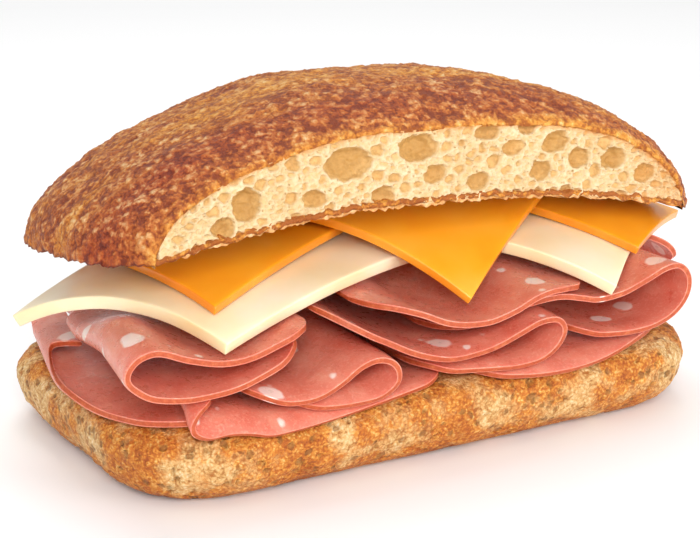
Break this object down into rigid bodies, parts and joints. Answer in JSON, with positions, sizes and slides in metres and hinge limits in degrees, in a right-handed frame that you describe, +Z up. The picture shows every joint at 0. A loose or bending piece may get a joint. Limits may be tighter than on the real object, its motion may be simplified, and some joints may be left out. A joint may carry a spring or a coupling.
{
  "type": "ciabatta sandwich",
  "caption": "Ciabatta sandwich: crusty open-crumb bread crown and heel around ruffled mortadella slices and pointed sheets of white and orange cheese.",
  "frame": {"origin": "on the supporting surface, under the centre of the sandwich's bounding box", "axes": "+X along the loaf, +Y toward the closed back side, +Z up; the cut side of the bread faces -Y"},
  "size_m": [0.1636, 0.0968, 0.0821],
  "materials": {
    "heel_crust": "rough toasted bread",
    "crown_crust": "crackled baked crust with flour and open crumb",
    "mortadella": "moist satin sliced meat",
    "white_cheese": "satin",
    "orange_cheese": "satin"
  },
  "bodies": {
    "root": {"bread_heel": "heel_crust", "mortadella_bed_right": "mortadella", "mortadella_bed_left": "mortadella", "mortadella_left_end": "mortadella", "mortadella_fold_centre_left": "mortadella", "mortadella_fold_left": "mortadella", "mortadella_fold_centre": "mortadella", "mortadella_fold_right": "mortadella", "mortadella_right_end": "mortadella", "mortadella_top": "mortadella", "white_cheese_left": "white_cheese", "white_cheese_right": "white_cheese", "orange_cheese_left": "orange_cheese", "orange_cheese_right": "orange_cheese", "orange_cheese_centre": "orange_cheese", "bread_crown": "crown_crust"}
  },
  "joints": []
}
